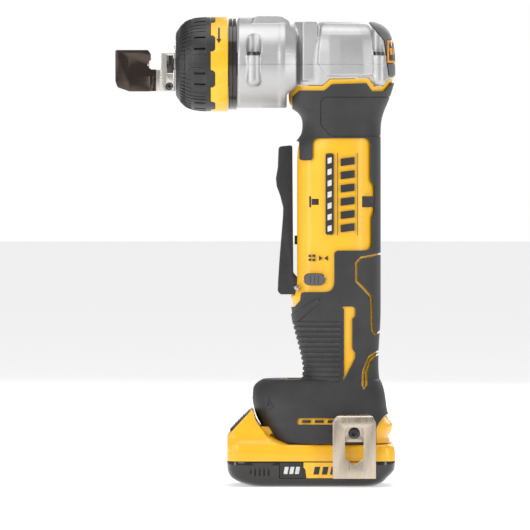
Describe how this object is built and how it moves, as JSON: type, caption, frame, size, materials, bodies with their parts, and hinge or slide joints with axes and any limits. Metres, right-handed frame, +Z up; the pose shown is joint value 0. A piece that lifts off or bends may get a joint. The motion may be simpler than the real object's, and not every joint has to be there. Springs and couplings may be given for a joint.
{
  "type": "cordless nibbler",
  "caption": "Right-angle cordless nibbler standing on its slide-on battery, with a long front paddle switch, a metal gear case and a turning C-shaped punch head.",
  "frame": {"origin": "middle of the battery's flat base, on the parting plane of the two handle halves", "axes": "+Z up the handle, -X the way the punch points, Y across the tool"},
  "size_m": [0.1885, 0.0845, 0.3155],
  "materials": {
    "black_rubber": "moulded rubber skin, dull",
    "black_plastic": "moulded nylon, half dull",
    "yellow_plastic": "moulded nylon, smooth",
    "grey_plastic": "moulded plastic, dull",
    "clear_plastic": "clear moulded lens",
    "cast_aluminium": "die cast and bead blasted",
    "steel": "machined",
    "dark_steel": "blackened and polished",
    "nickel_steel": "nickel plated strip",
    "bronze": "sintered bearing bronze",
    "cell_wrap": "shrink wrap"
  },
  "bodies": {
    "handle": {"left_shell": "yellow_plastic", "right_shell": "yellow_plastic", "left_overmold": "black_rubber", "right_overmold": "black_rubber", "gear_case_upper": "cast_aluminium", "gear_case_lower": "cast_aluminium", "gear_case_screw_1": "dark_steel", "gear_case_screw_2": "dark_steel", "gear_case_screw_3": "dark_steel", "gear_case_screw_4": "dark_steel", "rear_bumper": "grey_plastic", "rear_badge": "black_plastic", "front_ring": "black_plastic", "ram_bush_front": "bronze", "ram_bush_rear": "bronze", "crank_bearing": "steel", "ring_gear": "steel", "motor_bearing_front": "steel", "motor_bearing_rear": "steel", "motor_stator": "dark_steel", "trigger_switch": "black_plastic", "control_module": "dark_steel", "terminal_block": "black_plastic", "led_lens": "clear_plastic", "belt_hook": "nickel_steel", "belt_hook_screw": "dark_steel", "paddle_pin": "steel", "shell_screw_1": "dark_steel", "shell_screw_2": "dark_steel", "shell_screw_3": "dark_steel", "shell_screw_4": "dark_steel", "collar_spring": "steel"},
    "paddle": {"paddle_trigger": "black_plastic"},
    "plunger": {"switch_plunger": "grey_plastic"},
    "selector": {"selector_button": "grey_plastic"},
    "collar": {"lock_collar": "black_plastic", "collar_ring": "yellow_plastic"},
    "head": {"head_spigot": "steel", "die_carrier": "dark_steel", "die_insert": "steel", "clamp_screw": "dark_steel", "punch_guide": "black_plastic"},
    "punch": {"punch": "steel"},
    "ram": {"ram": "steel"},
    "crank": {"crank": "steel"},
    "planet_1": {"planet_gear_1": "steel"},
    "planet_2": {"planet_gear_2": "steel"},
    "planet_3": {"planet_gear_3": "steel"},
    "rotor": {"rotor_shaft": "steel", "motor_rotor": "dark_steel", "cooling_fan": "black_plastic"},
    "battery": {"battery_upper_case": "yellow_plastic", "battery_lower_case": "black_plastic", "battery_cell_1": "cell_wrap", "battery_cell_2": "cell_wrap", "battery_cell_3": "cell_wrap", "battery_cell_4": "cell_wrap", "battery_cell_5": "cell_wrap"},
    "latch": {"battery_latch": "black_plastic"}
  },
  "joints": [
    {"name": "paddle_pull", "type": "hinge", "parent": "handle", "child": "paddle", "pos_m": [-0.0096, 0, 0.133], "axis": [0, 1, 0], "range_deg": [0, 5], "stiffness_Nm_per_rad": 3, "springref_deg": -4.58},
    {"name": "plunger_press", "type": "slide", "parent": "handle", "child": "plunger", "axis": [1, 0, 0], "range_m": [0, 0.0029]},
    {"name": "selector_slide", "type": "slide", "parent": "handle", "child": "selector", "axis": [0, 1, 0], "range_m": [-0.0025, 0.0025]},
    {"name": "collar_twist", "type": "hinge", "parent": "handle", "child": "collar", "pos_m": [-0.0911, 0, 0.2836], "axis": [1, 0, 0], "range_deg": [0, 25], "stiffness_Nm_per_rad": 0.4, "springref_deg": -22.92},
    {"name": "head_swivel", "type": "hinge", "parent": "handle", "child": "head", "pos_m": [-0.0911, 0, 0.2836], "axis": [1, 0, 0], "continuous": true},
    {"name": "ram_stroke", "type": "slide", "parent": "handle", "child": "ram", "axis": [-1, 0, 0], "range_m": [0, 0.01]},
    {"name": "punch_stroke", "type": "slide", "parent": "head", "child": "punch", "axis": [-1, 0, 0], "range_m": [0, 0.01]},
    {"name": "crank_spin", "type": "hinge", "parent": "handle", "child": "crank", "pos_m": [0.0205, 0, 0.2514], "axis": [0, 0, 1], "continuous": true},
    {"name": "planet_1_spin", "type": "hinge", "parent": "crank", "child": "planet_1", "pos_m": [0.03175, 0, 0.24], "axis": [0, 0, 1], "continuous": true},
    {"name": "planet_2_spin", "type": "hinge", "parent": "crank", "child": "planet_2", "pos_m": [0.01487, 0.00974, 0.24], "axis": [0, 0, 1], "continuous": true},
    {"name": "planet_3_spin", "type": "hinge", "parent": "crank", "child": "planet_3", "pos_m": [0.01487, -0.00974, 0.24], "axis": [0, 0, 1], "continuous": true},
    {"name": "rotor_spin", "type": "hinge", "parent": "handle", "child": "rotor", "pos_m": [0.0205, 0, 0.24], "axis": [0, 0, 1], "continuous": true},
    {"name": "battery_slide", "type": "slide", "parent": "handle", "child": "battery", "axis": [-1, 0, 0], "range_m": [0, 0.09]},
    {"name": "latch_press", "type": "slide", "parent": "battery", "child": "latch", "axis": [0.7071, 0, -0.7071], "range_m": [0, 0.003], "stiffness_N_per_m": 1200, "springref_m": -0.002}
  ],
  "couplings": [
    {"joint": "plunger_press", "follows": "paddle_pull", "m_per_rad": 0.032},
    {"joint": "punch_stroke", "follows": "ram_stroke", "ratio": 1},
    {"joint": "planet_1_spin", "follows": "crank_spin", "ratio": -2.6667},
    {"joint": "planet_2_spin", "follows": "crank_spin", "ratio": -2.6667},
    {"joint": "planet_3_spin", "follows": "crank_spin", "ratio": -2.6667},
    {"joint": "rotor_spin", "follows": "crank_spin", "ratio": 5}
  ]
}
